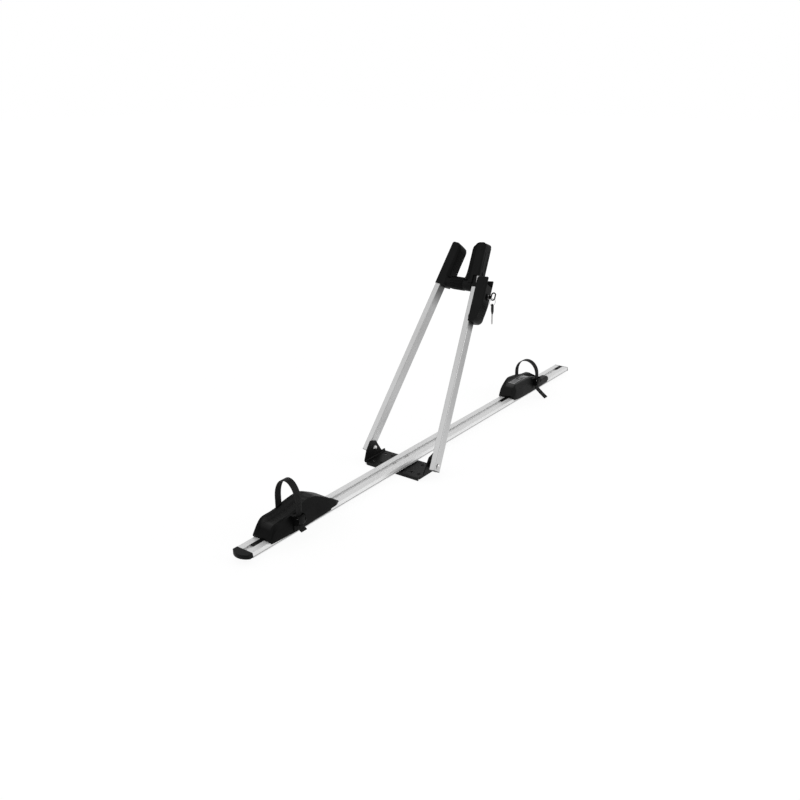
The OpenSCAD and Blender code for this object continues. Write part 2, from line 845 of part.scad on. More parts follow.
// Lip that reaches down over one edge of the rail, following the plan of the body
module cradle_skirt(side, to, tables) {
    from = 2;
    inner = side * (rail_top / 2 + 1);
    edge = [for (u = [from:5:to]) [u, side * (eased(u, tables[2]) - 0.4) + eased(u, tables[4])]];
    last = edge[len(edge) - 1][0];
    translate([0, 0, -skirt]) linear_extrude(skirt + 2)
        polygon(concat(edge, [[last, inner], [from, inner]]));
}

// Moulded wheel cradle with strap seats, hollow underside and a screw pillar
module cradle(length, tables, ends, strap_u, foot_u, far_y, anchor_z) {
    hollow_from = 26;
    difference() {
        union() {
            cradle_loft(length, tables);
            cradle_skirt(-1, ends[1], tables);
            cradle_skirt(1, ends[2], tables);
            translate([strap_u - buckle_half, -seat_y, cradle_gap]) cube([2 * buckle_half, 14, 33]);
            translate([strap_u - 10, anchor_y - 14, cradle_gap]) cube([20, 14, anchor_z + 7]);
        }
        difference() {
            translate([hollow_from, -17, -skirt - 1]) cube([ends[0] - hollow_from, 34, skirt + 18]);
            translate([foot_u, 0, -skirt - 2]) cylinder(r = 9, h = 40);
        }
        translate([foot_u, 0, -5]) cylinder(r = 3.3, h = 80);
        translate([foot_u, 0, screw_seat]) cylinder(r = 7, h = 60);
        translate([strap_u, 0, anchor_z]) bar_y(2.1, far_y - 6, 50);
        // Slot that takes the fixed end of the strap
        translate([strap_u - strap_width / 2 - 0.3, far_y - 0.3, anchor_z - 8.3])
            cube([strap_width + 0.6, strap_thickness + 0.6, 60]);
    }
}

// Places of the two cradles on the rail
module at_front() {
    translate([front_cradle_x, 0, rail_crown]) children();
}

module at_rear() {
    translate([rear_cradle_x, 0, rail_crown]) children();
}

module front_cradle() {
    color("#1a1a1c") at_front()
        cradle(front_length, front_tables, front_ends, front_strap_u, front_foot_u, front_far,
            front_anchor_z);
}

module rear_cradle() {
    color("#1a1a1c") at_rear()
        cradle(rear_length, rear_tables, rear_ends, rear_strap_u, rear_foot_u, rear_far, rear_anchor_z);
}

// Foot that runs in the rail's slot, with a tongue along the mouth from a given place
module slide_foot(foot_u, tongue_u) {
    play = 0.4;
    translate([foot_u, 0, 0]) difference() {
        union() {
            translate([tongue_u - foot_u, -slot_mouth / 2 + play, -lip - 1])
                cube([foot_u - tongue_u, slot_mouth - 2 * play, lip + 1 - play / 2]);
            translate([-foot_length / 2, -slot_width / 2 + play, -lip - slot_height + play])
                cube([foot_length, slot_width - 2 * play, slot_height - 2 * play]);
            translate([-foot_length / 2, -slot_mouth / 2 + play, -lip - 1])
                cube([foot_length, slot_mouth - 2 * play, lip + 1 + cradle_gap]);
        }
        translate([0, 0, -lip - slot_height]) cylinder(r = 3.02, h = 20);
    }
}

module foot_screw(foot_u) {
    bottom = -lip - slot_height + 0.8;
    translate([foot_u, 0, 0]) {
        translate([0, 0, bottom]) cylinder(r = 3, h = screw_seat - bottom + 1);
        difference() {
            translate([0, 0, screw_seat]) dome(6, 3.6);
            translate([0, 0, screw_seat + 1.8]) cylinder(r = 2.3, h = 4, $fn = 6);
        }
    }
}

module front_slide_foot() {
    color("#2c2d30") at_front() slide_foot(front_foot_u, front_tongue_u);
}

module rear_slide_foot() {
    color("#2c2d30") at_rear() slide_foot(rear_foot_u, rear_tongue_u);
}

module front_foot_screw() {
    color("#b4b6b9") at_front() foot_screw(front_foot_u);
}

module rear_foot_screw() {
    color("#b4b6b9") at_rear() foot_screw(rear_foot_u);
}

// Middle line of a strap in the Y-Z plane: anchor, loop over the wheel, buckle and free tail
function strap_line(far_y, anchor_z, base, apex, tail) = let (
    steps = 30,
    half = strap_thickness / 2,
    far = far_y + half,
    middle = (far + near_line) / 2,
    span = (far - near_line) / 2
) concat(
    [[far, anchor_z - 8]],
    [for (i = [0:steps]) let (a = 180 * i / steps)
        [middle + span * cos(a), base + (apex - base - half) * sin(a)]],
    tail
);

// Band of even thickness along a line
module band(line) {
    last = len(line) - 1;
    half = strap_thickness / 2;
    normals = [for (i = [0:last]) let (
        d = line[min(i + 1, last)] - line[max(i - 1, 0)]
    ) [-d[1], d[0]] / norm(d)];
    polygon(concat(
        [for (i = [0:last]) line[i] + half * normals[i]],
        [for (i = [last:-1:0]) line[i] - half * normals[i]]
    ));
}

module strap(strap_u, line, anchor_z) {
    from = strap_u - strap_width / 2;
    difference() {
        along_x(from, from + strap_width) band(line);
        translate([strap_u, 0, anchor_z]) bar_y(2.1, 0, 60);
    }
}

module front_strap() {
    tail = [[near_line, 16], [near_line - 2, 10], [near_line - 6, 6], [near_line - 12, 2.5]];
    line = strap_line(front_far, front_anchor_z, front_loop_base, front_loop, tail);
    color("#141416") at_front() strap(front_strap_u, line, front_anchor_z);
}

module rear_strap() {
    tail = [
        [near_line, 14], [near_line - 2, 7], [near_line - 6, 2], [near_line - 18, -7.5], [near_line - 33, -18]
    ];
    line = strap_line(rear_far, rear_anchor_z, rear_loop_base, rear_loop, tail);
    color("#141416") at_rear() strap(rear_strap_u, line, rear_anchor_z);
}

module strap_rivet(strap_u, far_y, anchor_z) {
    head = max(anchor_y, far_y + strap_thickness);
    translate([strap_u, 0, anchor_z]) {
        bar_y(2, far_y - 5, head + 0.5);
        translate([0, head, 0]) rotate([-90, 0, 0]) dome(5, 2);
    }
}

module front_strap_rivet() {
    color("#77797c") at_front() strap_rivet(front_strap_u, front_far, front_anchor_z);
}

module rear_strap_rivet() {
    color("#77797c") at_rear() strap_rivet(rear_strap_u, rear_far, rear_anchor_z);
}

// Channel that guides the strap and carries the buckle's pin
module buckle_frame(strap_u) {
    ear = 2.2;
    depth = buckle_pin_y + 4 - seat_y;
    translate([strap_u, 0, 0]) difference() {
        union() {
            translate([-buckle_half, -seat_y - 2.4, 13]) cube([2 * buckle_half, 2.4, 23]);
            for (side = [0, 1]) mirror([side, 0, 0]) intersection() {
                translate([buckle_half - ear, -seat_y - depth, 14]) cube([ear, depth, 22]);
                translate([0, -seat_y, buckle_pin_z - 5]) bar_x(depth, 60);
            }
        }
        translate([0, -buckle_pin_y, buckle_pin_z]) bar_x(1.55, 60);
    }
}

// Flap with a pawl that bites the strap, folded down when shut
module buckle_lever(strap_u) {
    width = 2 * (buckle_half - 2.2) - 0.6;
    translate([strap_u, -buckle_pin_y, buckle_pin_z]) difference() {
        along_x(-width / 2, width / 2) {
            circle(3.4);
            polygon([[-3.4, 0], [-2.6, -14], [-0.6, -16], [0.8, -15.5], [0.6, -12], [1.6, 0]]);
        }
        bar_x(1.6, 60);
    }
}

module buckle_pin(strap_u) {
    translate([strap_u, -buckle_pin_y, buckle_pin_z]) bar_x(1.53, 2 * buckle_half + 1.2);
}

module front_buckle_frame() {
    color("#1a1a1c") at_front() buckle_frame(front_strap_u);
}

module rear_buckle_frame() {
    color("#1a1a1c") at_rear() buckle_frame(rear_strap_u);
}

module front_buckle_lever() {
    color("#101012") at_front() buckle_lever(front_strap_u);
}

module rear_buckle_lever() {
    color("#101012") at_rear() buckle_lever(rear_strap_u);
}

module front_buckle_pin() {
    color("#b4b6b9") at_front() buckle_pin(front_strap_u);
}

module rear_buckle_pin() {
    color("#b4b6b9") at_rear() buckle_pin(rear_strap_u);
}

rail();
front_end_cap();
rear_end_plug();
base_bracket();
rail_screws();
clinch_nuts();
pivot_bolts();
pivot_bushes();
pivot_nuts();
left_tube();
left_tube_plug();
left_claw();
left_claw_pad();
left_claw_screw();
tie_rod();
tie_rod_nut();
right_tube();
right_tube_plug();
right_claw();
right_claw_pad();
right_claw_screw();
cam_wear_plate();
adjuster_knob();
lever_casing();
lever_cam();
lever_pin_shaft();
lock_barrel();
lock_plug();
lock_tongue();
key_bow();
key_blade();
key_ring();
spare_key_bow();
spare_key_blade();
front_cradle();
front_slide_foot();
front_foot_screw();
front_strap();
front_strap_rivet();
front_buckle_frame();
front_buckle_lever();
front_buckle_pin();
rear_cradle();
rear_slide_foot();
rear_foot_screw();
rear_strap();
rear_strap_rivet();
rear_buckle_frame();
rear_buckle_lever();
rear_buckle_pin();
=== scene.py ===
import json
import math

import bmesh
import bpy
from mathutils import Matrix, Vector


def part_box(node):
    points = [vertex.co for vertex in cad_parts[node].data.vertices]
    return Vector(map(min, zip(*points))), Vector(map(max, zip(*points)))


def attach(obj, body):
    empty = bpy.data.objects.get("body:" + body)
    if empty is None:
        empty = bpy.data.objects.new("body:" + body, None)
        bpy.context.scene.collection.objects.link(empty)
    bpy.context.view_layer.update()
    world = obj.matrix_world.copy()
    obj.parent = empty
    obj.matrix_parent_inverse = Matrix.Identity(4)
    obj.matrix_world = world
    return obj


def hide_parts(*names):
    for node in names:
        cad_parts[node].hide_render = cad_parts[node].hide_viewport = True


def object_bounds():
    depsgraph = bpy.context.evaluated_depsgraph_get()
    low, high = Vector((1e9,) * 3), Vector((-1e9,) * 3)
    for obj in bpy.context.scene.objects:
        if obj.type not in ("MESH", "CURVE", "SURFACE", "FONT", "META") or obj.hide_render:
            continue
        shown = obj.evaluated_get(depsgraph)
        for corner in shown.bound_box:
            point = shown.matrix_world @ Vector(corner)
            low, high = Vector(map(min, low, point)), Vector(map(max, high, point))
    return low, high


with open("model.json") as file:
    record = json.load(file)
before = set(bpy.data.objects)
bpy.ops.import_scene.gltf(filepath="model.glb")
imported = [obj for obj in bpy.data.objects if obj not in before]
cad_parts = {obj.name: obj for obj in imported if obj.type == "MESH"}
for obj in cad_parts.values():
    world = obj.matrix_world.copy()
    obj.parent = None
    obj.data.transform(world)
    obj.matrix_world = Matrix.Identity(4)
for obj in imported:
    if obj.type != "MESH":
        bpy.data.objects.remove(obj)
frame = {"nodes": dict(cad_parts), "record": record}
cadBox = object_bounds()
nodes = frame["nodes"]
print("frame loaded:", len(nodes), "nodes")


# Shader building
class Signal:
    # one output socket; sums and products of signals add Math nodes
    def __init__(self, finish, socket):
        self.finish, self.socket = finish, socket

    def maths(self, operation, first, second):
        return self.finish.add("ShaderNodeMath", {"operation": operation}, {0: first, 1: second})

    def __add__(self, other):
        return self.maths("ADD", self, other)

    def __radd__(self, other):
        return self.maths("ADD", other, self)

    def __sub__(self, other):
        return self.maths("SUBTRACT", self, other)

    def __rsub__(self, other):
        return self.maths("SUBTRACT", other, self)

    def __mul__(self, other):
        return self.maths("MULTIPLY", self, other)

    def __rmul__(self, other):
        return self.maths("MULTIPLY", other, self)


class Finish:
    # a material under construction, with its Principled shader
    inputNames = {"color": "Base Color", "rough": "Roughness", "metal": "Metallic",
                  "normal": "Normal", "specular": "Specular IOR Level"}

    def __init__(self, name):
        self.material = bpy.data.materials.new(name)
        self.material.use_nodes = True
        self.tree = self.material.node_tree
        self.shader = self.tree.nodes["Principled BSDF"]

    def add(self, kind, settings=None, inputs=None, output=0):
        # any node: its settings first, then the values or links of its sockets
        node = self.tree.nodes.new(kind)
        for key, value in (settings or {}).items():
            if key == "stops":
                for element, (place, shade) in zip(node.color_ramp.elements, value):
                    element.position, element.color = place, shade
            else:
                setattr(node, key, value)
        for key, value in (inputs or {}).items():
            self.feed(node.inputs[key], value)
        return Signal(self, node.outputs[output])

    def feed(self, socket, value):
        if isinstance(value, Signal):
            self.tree.links.new(value.socket, socket)
        else:
            socket.default_value = value

    def set(self, **values):
        for key, value in values.items():
            self.feed(self.shader.inputs[self.inputNames[key]], value)

    def place(self, grain=(1, 1, 1), turn=(0, 0, 0), start=(0, 0, 0)):
        # object coordinates from a piece's own start and direction, divided by the grain's size
        spot = self.add("ShaderNodeTexCoord", output="Object")
        return self.add("ShaderNodeMapping", {"vector_type": "TEXTURE"},
                        {"Vector": spot, "Location": start, "Rotation": turn, "Scale": grain})

    def axes(self, turn=(0, 0, 0), start=(0, 0, 0)):
        # place along each axis, as signals
        where = self.place(turn=turn, start=start)
        return [self.add("ShaderNodeSeparateXYZ", None, {0: where}, axis) for axis in range(3)]

    def noise(self, grain, detail, rough=0.5, turn=(0, 0, 0)):
        # grain is one size for all three axes, or a size for each
        sizes = grain if isinstance(grain, tuple) else (grain,) * 3
        return self.add("ShaderNodeTexNoise", None,
                        {"Vector": self.place(sizes, turn), "Scale": 1.0, "Detail": detail,
                         "Roughness": rough})

    def ramp(self, signal, stops, low, high):
        return self.add("ShaderNodeValToRGB", {"stops": list(zip(stops, (low, high)))},
                        {"Fac": signal})

    def mix(self, factor, first, second):
        return self.add("ShaderNodeMix", {"data_type": "RGBA"}, {0: factor, 6: first, 7: second}, 2)

    def fade(self, value, start, end, low=0.0, high=1.0):
        # goes from low to high between two places
        return self.add("ShaderNodeMapRange", None, {0: value, 1: start, 2: end, 3: low, 4: high})

    def rise(self, value, edge, width):
        # climbs from 0 to 1 across an edge
        return self.fade(value, edge - width, edge + width)

    def fall(self, value, edge, width):
        return 1 - self.rise(value, edge, width)

    def size(self, signal):
        return self.add("ShaderNodeMath", {"operation": "ABSOLUTE"}, {0: signal})

    def bump(self, height, depth, strength):
        return self.add("ShaderNodeBump", None,
                        {"Height": height, "Distance": depth, "Strength": strength})


def tint(level, warm=0.0):
    return (level * (1 + warm), level, level * (1 - warm), 1)


# Directions of the two tubes, for grain and fittings that follow them
armAim = {"lean": math.radians(33), "splay": math.radians(6.1), "pivotHeight": 0.024,
          "spread": 0.194}
sides = {"left": 1, "right": -1}


def tubeMatrix(name):
    lean = Matrix.Rotation(armAim["lean"], 4, "Y")
    splay = Matrix.Rotation(sides[name] * armAim["splay"], 4, "X")
    out = Matrix.Translation((0, sides[name] * armAim["spread"] / 2, 0))
    return Matrix.Translation((0, 0, armAim["pivotHeight"])) @ lean @ out @ splay


anodised = {"tone": 0.55, "toneSpread": 0.05, "warm": 0.004, "stops": (0.3, 0.7),
            "rough": 0.31, "roughSpread": 0.12, "lineSize": 0.0006, "lineLength": 0.30,
            "lineDetail": 2.0, "lineShare": 0.55, "lineDepth": 0.000012, "lineStrength": 0.6,
            "blotch": {"grain": 0.09, "detail": 3.0}}


def anodisedAluminium(name, along, turn=(0, 0, 0), tone=anodised["tone"], metal=1.0, marks=None):
    # satin anodised extrusion: fine die lines along the length and slow changes of tone
    finish = Finish(name)
    sizes = [anodised["lineSize"]] * 3
    sizes[along] = anodised["lineLength"]
    lines = finish.noise(tuple(sizes), anodised["lineDetail"], turn=turn)
    blotches = finish.noise(**anodised["blotch"])
    share, spread, warm = anodised["lineShare"], anodised["toneSpread"], anodised["warm"]
    shade = finish.ramp(share * lines + (1 - share) * blotches, anodised["stops"],
                        tint(tone - spread, warm), tint(tone + spread, -warm))
    if marks:
        shade, metal = marks(finish, shade, metal)
    finish.set(color=shade, metal=metal,
               rough=anodised["rough"] + anodised["roughSpread"] * lines,
               normal=finish.bump(lines, anodised["lineDepth"], anodised["lineStrength"]))
    return finish.material


# Painted light and shade on the rail: a paler, less metallic slot painted as light reaching into
# it, a darker top painted as shade, and a painted shadow along the groove on each side
railPaintedTones = {"slotHalf": 0.0104, "slotTop": 0.0156, "slotPaintedLight": 0.80, "groove": 0.0088,
             "grooveHalf": 0.0009, "groovePaintedShadow": 0.42, "sides": 0.0205, "top": 0.0166,
             "topPaintedShade": 0.66, "topShare": 0.5, "soft": 0.0002}


def railPaintedLightAndShade(finish, tone, metal):
    across, height = finish.axes()[1:]
    soft = railPaintedTones["soft"]
    beside, away = finish.size(across), finish.size(height - railPaintedTones["groove"])
    # painted shade: the top flanges darker than the sides below them
    top = railPaintedTones["topShare"] * finish.rise(height, railPaintedTones["top"], soft)
    # painted light: the slot paler and less metallic than the rest
    slot = (finish.fall(beside, railPaintedTones["slotHalf"], soft)
            * finish.fall(height, railPaintedTones["slotTop"], soft))
    # painted shadow: a dark line along the groove in each side
    line = (finish.fall(away, railPaintedTones["grooveHalf"], soft)
            * finish.rise(beside, railPaintedTones["sides"], soft))
    for mask, shade in ((top, "topPaintedShade"), (slot, "slotPaintedLight"), (line, "groovePaintedShadow")):
        tone = finish.mix(mask, tone, tint(railPaintedTones[shade]))
    return tone, metal * (1 - slot)


# Painted shadows of the claw and the lever on one face of each tube, growing darker towards the
# claw or the lever above them
tubeShadows = {
    "left": {"face": -0.0068, "from": 0.373, "to": 0.417, "tone": 0.16},
    "right": {"face": -0.0068, "from": 0.328, "to": 0.346, "tone": 0.09},
    "soft": 0.0003,
}


def tubeAluminium(name):
    tubeShadow = tubeShadows[name]
    own = tubeMatrix(name)
    turn = tuple(own.to_euler())

    def paintTubeShadow(finish, tone, metal):
        across, along = finish.axes(turn, tuple(own.translation))[1:]
        # painted shadow: the face under the claw or lever darkens up the tube towards it
        face = finish.fall(across, tubeShadow["face"], tubeShadows["soft"])
        reach = finish.fade(along, tubeShadow["from"], tubeShadow["to"])
        return finish.mix(face * reach, tone, tint(tubeShadow["tone"])), metal

    return anodisedAluminium(name + "TubeAluminium", along=2, turn=turn, marks=paintTubeShadow)


# Painted light on the troughs of the cradles: their floors made paler in patches, standing in for
# light that the walls around them shade off
troughPaintedLight = {
    "front": {"tone": 0.03, "half": 0.0145, "shift": 0.0, "from": -0.450, "to": -0.330,
              "above": 0.038},
    "rear": {"tone": 0.055, "half": 0.0150, "shift": 0.0025, "from": 0.508, "to": 0.612,
             "above": 0.0445},
    "soft": 0.0015, "softLength": 0.006, "least": 0.5, "patchy": 0.7,
}


def troughLitMask(finish, trough):
    # mask of the trough floor that gets the painted light
    along, across, height = finish.axes()
    soft, softLength = troughPaintedLight["soft"], troughPaintedLight["softLength"]
    beside = finish.size(across + trough["shift"])
    inside = finish.rise(height, trough["above"], soft) * finish.fall(beside, trough["half"], soft)
    return (inside * finish.rise(along, trough["from"], softLength)
            * finish.fall(along, trough["to"], softLength))


plastic = {"tone": 0.005, "toneSpread": 0.0015, "warm": -0.01, "stops": (0.35, 0.65),
           "rough": 0.42, "roughDrop": 0.07, "roughSpread": 0.10, "specular": 0.13,
           "grain": 0.0009, "grainDepth": 0.00006, "grainStrength": 0.5, "grainShare": 0.4,
           "pebble": {"detail": 2.0, "rough": 0.6}, "cloud": {"grain": 0.035, "detail": 4.0},
           "scuff": {"grain": (0.004, 0.0009, 0.02), "detail": 3.0, "rough": 0.7,
                     "turn": (0.5, 0.3, 0.7)},
           "scuffStops": (0.66, 0.74), "scuffShare": 0.25, "scuffTone": 3.2}


def mouldedPlastic(name, tone=plastic["tone"], rough=plastic["rough"], grain=plastic["grain"],
                   specular=plastic["specular"], trough=None):
    # black moulding with a spark-eroded grain, faint flow clouds and a few pale scuffs
    finish = Finish(name)
    pebble = finish.noise(grain, **plastic["pebble"])
    clouds = finish.noise(**plastic["cloud"])
    scuffs = finish.ramp(finish.noise(**plastic["scuff"]), plastic["scuffStops"], tint(0), tint(1))
    share, spread, warm = plastic["grainShare"], plastic["toneSpread"], plastic["warm"]
    base = finish.ramp(share * pebble + (1 - share) * clouds, plastic["stops"],
                       tint(tone - spread, warm), tint(tone + spread, warm))
    base = finish.mix(plastic["scuffShare"] * scuffs, base, tint(tone * plastic["scuffTone"]))
    if trough:
        # painted light, in patches, on the trough floor
        troughLight = troughLitMask(finish, trough) * (troughPaintedLight["least"] + troughPaintedLight["patchy"] * clouds)
        base = finish.mix(troughLight, base, tint(trough["tone"]))
    finish.set(color=base, specular=specular,
               rough=rough - plastic["roughDrop"] + plastic["roughSpread"] * (pebble + clouds),
               normal=finish.bump(pebble, plastic["grainDepth"], plastic["grainStrength"]))
    return finish.material


rubber = {"tone": 0.006, "dark": 0.8, "pale": 1.7, "warm": 0.01, "stops": (0.35, 0.7),
          "rough": 0.54, "roughSpread": 0.2, "specular": 0.2,
          "skin": {"grain": 0.0006, "detail": 3.0, "rough": 0.6},
          "skinDepth": 0.00005, "skinStrength": 0.6,
          "bloom": {"grain": 0.02, "detail": 4.0, "rough": 0.6}}


def strapRubber(name, tone=rubber["tone"], specular=rubber["specular"]):
    # soft black strap: matt skin with a dusty bloom
    finish = Finish(name)
    skin = finish.noise(**rubber["skin"])
    bloom = finish.noise(**rubber["bloom"])
    base = finish.ramp(bloom, rubber["stops"],
                       tint(tone * rubber["dark"]), tint(tone * rubber["pale"], rubber["warm"]))
    finish.set(color=base, specular=specular,
               rough=rubber["rough"] + rubber["roughSpread"] * bloom,
               normal=finish.bump(skin, rubber["skinDepth"], rubber["skinStrength"]))
    return finish.material


powder = {"tone": 0.005, "dark": 0.75, "pale": 1.35, "stops": (0.3, 0.7), "specular": 0.115,
          "rough": 0.36, "roughSpread": 0.14,
          "peel": {"grain": 0.0022, "detail": 1.0, "rough": 0.4},
          "peelDepth": 0.00005, "peelStrength": 0.7, "cloud": {"grain": 0.05, "detail": 4.0}}


def powderCoat(name):
    # black powder coat: orange peel and slightly thin, paler spots
    finish = Finish(name)
    peel = finish.noise(**powder["peel"])
    clouds = finish.noise(**powder["cloud"])
    base = finish.ramp(clouds, powder["stops"], tint(powder["tone"] * powder["dark"]),
                       tint(powder["tone"] * powder["pale"]))
    finish.set(color=base, specular=powder["specular"],
               rough=powder["rough"] + powder["roughSpread"] * clouds,
               normal=finish.bump(peel, powder["peelDepth"], powder["peelStrength"]))
    return finish.material


plated = {"dark": 0.85, "pale": 1.1, "paleWarm": 0.3, "stops": (0.3, 0.7),
          "roughDrop": 0.05, "cloudRough": 0.10, "scratchRough": 0.08,
          "cloud": {"grain": 0.012, "detail": 4.0, "rough": 0.6},
          "scratch": {"grain": (0.0002, 0.006, 0.0003), "detail": 2.0, "turn": (0.2, 0.5, 0.9)},
          "scratchDepth": 0.000008, "scratchStrength": 0.5}


def platedSteel(name, tone, rough, warm=0.0):
    # plated fasteners: cloudy passivation over short scratches
    finish = Finish(name)
    clouds = finish.noise(**plated["cloud"])
    scratches = finish.noise(**plated["scratch"])
    base = finish.ramp(clouds, plated["stops"], tint(tone * plated["dark"], warm),
                       tint(tone * plated["pale"], warm * plated["paleWarm"]))
    finish.set(color=base, metal=1.0,
               rough=(rough - plated["roughDrop"] + plated["cloudRough"] * clouds
                      + plated["scratchRough"] * scratches),
               normal=finish.bump(scratches, plated["scratchDepth"], plated["scratchStrength"]))
    return finish.material


# Finish of each material slot, or of one node where it differs from its slot
finishes = {
    "rail": anodisedAluminium("railAluminium", along=0, tone=0.82, metal=0.40, marks=railPaintedLightAndShade),
    "left_tube": tubeAluminium("left"),
    "right_tube": tubeAluminium("right"),
    "bracket_black": powderCoat("bracketPowderCoat"),
    "moulded_black": mouldedPlastic("mouldedBlack", tone=0.004, specular=0.10),
    "lever_black": mouldedPlastic("leverBlack", tone=0.0043, rough=0.36, grain=0.0007,
                                  specular=0.10),
    "front_cradle": mouldedPlastic("frontCradleBlack", tone=0.0022, specular=0.065,
                                   trough=troughPaintedLight["front"]),
    "rear_cradle": mouldedPlastic("rearCradleBlack", trough=troughPaintedLight["rear"]),
    "tread_worn": mouldedPlastic("treadPale", tone=0.34, rough=0.34, grain=0.0006, specular=0.5),
    "adjuster_knob": mouldedPlastic("knobBlack", tone=0.0025, rough=0.34, grain=0.0006,
                                    specular=0.07),
    "strap_black": strapRubber("strapRubber"),
    "pad_rubber": strapRubber("padRubber", tone=0.003, specular=0.08),
    "zinc_steel": platedSteel("zincSteel", tone=0.56, rough=0.30, warm=0.012),
    "lock_chrome": platedSteel("lockChrome", tone=0.62, rough=0.16),
    "key_nickel": platedSteel("keyNickel", tone=0.60, rough=0.22, warm=0.02),
    "key_black": mouldedPlastic("keyBlack", tone=0.003, rough=0.34, grain=0.0006, specular=0.06),
}
buckles = mouldedPlastic("buckleBlack", tone=0.0025, rough=0.40, grain=0.0006, specular=0.07)
for name in nodes:
    if name.endswith(("buckle_frame", "buckle_lever")):
        finishes[name] = buckles
slotOf = {part["node"]: part["material_slot"] for part in frame["record"]["subparts"]}
for name, piece in nodes.items():
    piece.data.materials.clear()
    piece.data.materials.append(finishes.get(name) or finishes[slotOf[name]])
print("finishes on", len(nodes), "nodes")


# Softened edges on the moulded and cut pieces
edges = {"segments": 2, "angle": math.radians(32), "flatAngle": math.radians(0.5),
         "merge": 0.000002}
softened = [
    {"width": 0.0024, "nodes": ["left_claw", "right_claw"]},
    {"width": 0.0007, "nodes": ["lever_casing", "front_end_cap"]},
    {"width": 0.0005, "nodes": ["base_bracket"]},
    {"width": 0.0003, "nodes": ["front_buckle_frame", "rear_buckle_frame", "front_buckle_lever",
                                "rear_buckle_lever", "key_bow", "spare_key_bow", "left_tube_plug",
                                "right_tube_plug", "adjuster_knob"]},
]


def softenEdges(piece, width):
    # loose triangles are joined and flat faces made whole, so that only real edges are rounded
    weld = piece.modifiers.new("joinFaces", "WELD")
    weld.merge_threshold = edges["merge"]
    flat = piece.modifiers.new("flatFaces", "DECIMATE")
    flat.decimate_type = "DISSOLVE"
    flat.angle_limit = edges["flatAngle"]
    soft = piece.modifiers.new("softEdges", "BEVEL")
    soft.width = width
    soft.segments = edges["segments"]
    soft.limit_method = "ANGLE"
    soft.angle_limit = edges["angle"]


for group in softened:
    for name in group["nodes"]:
        softenEdges(nodes[name], group["width"])
print("edges softened on", sum(len(group["nodes"]) for group in softened), "nodes")


# Small fittings modelled here
def newPiece(name, shape, body, finish):
    bmesh.ops.recalc_face_normals(shape, faces=shape.faces)
    data = bpy.data.meshes.new(name)
    shape.to_mesh(data)
    shape.free()
    data.materials.append(finishes[finish])
    piece = bpy.data.objects.new(name, data)
    bpy.context.scene.collection.objects.link(piece)
    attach(piece, body)
    return piece


def roundOff(shape, rims, offset, segments=2):
    bmesh.ops.bevel(shape, geom=rims, offset=offset, affect="EDGES", segments=segments,
                    profile=0.5, material=-1)


def softBar(size, edge):
    # bar centred on the origin with rounded edges
    bar = bmesh.new()
    bmesh.ops.create_cube(bar, size=1.0)
    bmesh.ops.scale(bar, verts=bar.verts, vec=size)
    roundOff(bar, bar.edges[:], edge)
    return bar


def cornerBlock(corner):
    # block with each corner placed by a function of whether it is at the front, inside and on top
    block = bmesh.new()
    bmesh.ops.create_cube(block, size=1.0)
    for vert in block.verts:
        vert.co = corner(vert.co.x < 0, vert.co.y > 0, vert.co.z > 0)
    return block


def stamp(shape, part, place):
    # adds a moved copy of a part to a growing shape
    part.transform(place)
    copy = bpy.data.meshes.new("stamp")
    part.to_mesh(copy)
    shape.from_mesh(copy)
    bpy.data.meshes.remove(copy)
    part.free()


strapRidge = {"pitch": 0.0032, "size": (0.0118, 0.0010, 0.0016), "edge": 0.0003, "sink": 0.0003,
              "firstTurn": 100, "lastTurn": 180, "turnStep": 4, "thickness": 0.002,
              "nearLine": -0.0352, "railTop": 0.017}
strapLines = {
    "front": {"far": 0.021, "base": 0.060, "loop": 0.106,
              "tail": [(0, 0.016), (-0.002, 0.010), (-0.006, 0.006), (-0.012, 0.0025)]},
    "rear": {"far": 0.0296, "base": 0.045, "loop": 0.083,
             "tail": [(0, 0.014), (-0.002, 0.007), (-0.006, 0.002), (-0.018, -0.0075),
                      (-0.033, -0.018)]},
}


def strapPath(line):
    # middle line of a strap's near side, from past the top of the loop to the end of the tail
    near, top = strapRidge["nearLine"], strapRidge["railTop"]
    middle, span = (line["far"] + near) / 2, (line["far"] - near) / 2
    rise = line["loop"] - line["base"] - strapRidge["thickness"] / 2
    path = []
    for turn in range(strapRidge["firstTurn"], strapRidge["lastTurn"] + 1, strapRidge["turnStep"]):
        angle = math.radians(turn)
        path.append(Vector((middle + span * math.cos(angle),
                            top + line["base"] + rise * math.sin(angle))))
    return path + [Vector((near + out, top + height)) for out, height in line["tail"]]


def strapTeeth(place):
    # ladder of ridges that the buckle's pawl bites
    low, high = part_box(place + "_strap")
    middle = (low[0] + high[0]) / 2
    lift = strapRidge["thickness"] / 2 + strapRidge["size"][1] / 2 - strapRidge["sink"]
    shape = bmesh.new()
    path = strapPath(strapLines[place])
    ahead = strapRidge["pitch"] / 2
    for start, end in zip(path, path[1:]):
        run = end - start
        aim = run.normalized()
        outward = Vector((aim.y, -aim.x))
        turn = Matrix.Rotation(math.atan2(outward.y, outward.x) - math.pi / 2, 4, "X")
        while ahead < run.length:
            spot = start + aim * ahead + outward * lift
            stamp(shape, softBar(strapRidge["size"], strapRidge["edge"]),
                  Matrix.Translation((middle, spot.x, spot.y)) @ turn)
            ahead += strapRidge["pitch"]
        ahead -= run.length
    newPiece(place + "StrapTeeth", shape, place + "_holder", "strap_black")


leverGrip = {"size": (0.021, 0.0014, 0.0022), "edge": 0.0005, "first": 0.368, "step": 0.0052,
             "count": 6, "sink": 0.0006, "foot": (0.0278, 0.363), "shoulder": (0.0348, 0.406)}


